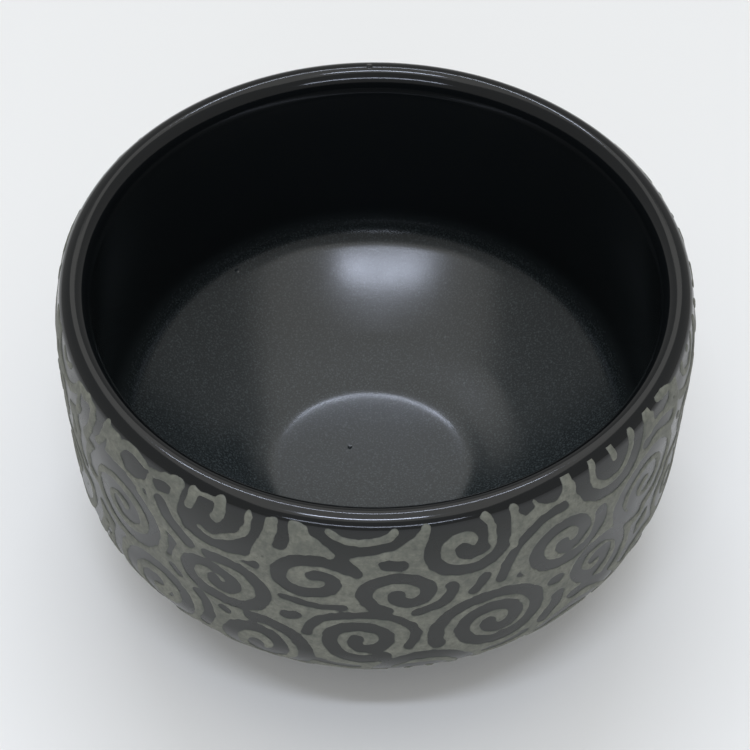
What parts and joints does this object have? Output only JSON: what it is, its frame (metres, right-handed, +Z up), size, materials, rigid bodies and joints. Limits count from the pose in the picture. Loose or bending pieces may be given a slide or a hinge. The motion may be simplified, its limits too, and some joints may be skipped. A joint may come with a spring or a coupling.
{
  "type": "matcha bowl",
  "caption": "Round tea bowl for whisked matcha: steep wall, lip drawn slightly in, sloping floor with a flat well, foot ring, black satin glaze and raised grey spiral slip outside.",
  "frame": {"origin": "centre of the foot ring's resting face", "axes": "+Z up along the axis of the throw"},
  "size_m": [0.123, 0.123, 0.074],
  "materials": {
    "bare_clay": "matte",
    "black_glaze": "satin",
    "grey_slip": "matte"
  },
  "bodies": {
    "root": {"clay_body": "bare_clay", "foot_ring": "bare_clay", "inside_glaze": "black_glaze", "lip_glaze": "black_glaze", "outside_glaze": "black_glaze", "spiral_slip": "grey_slip"}
  },
  "joints": []
}
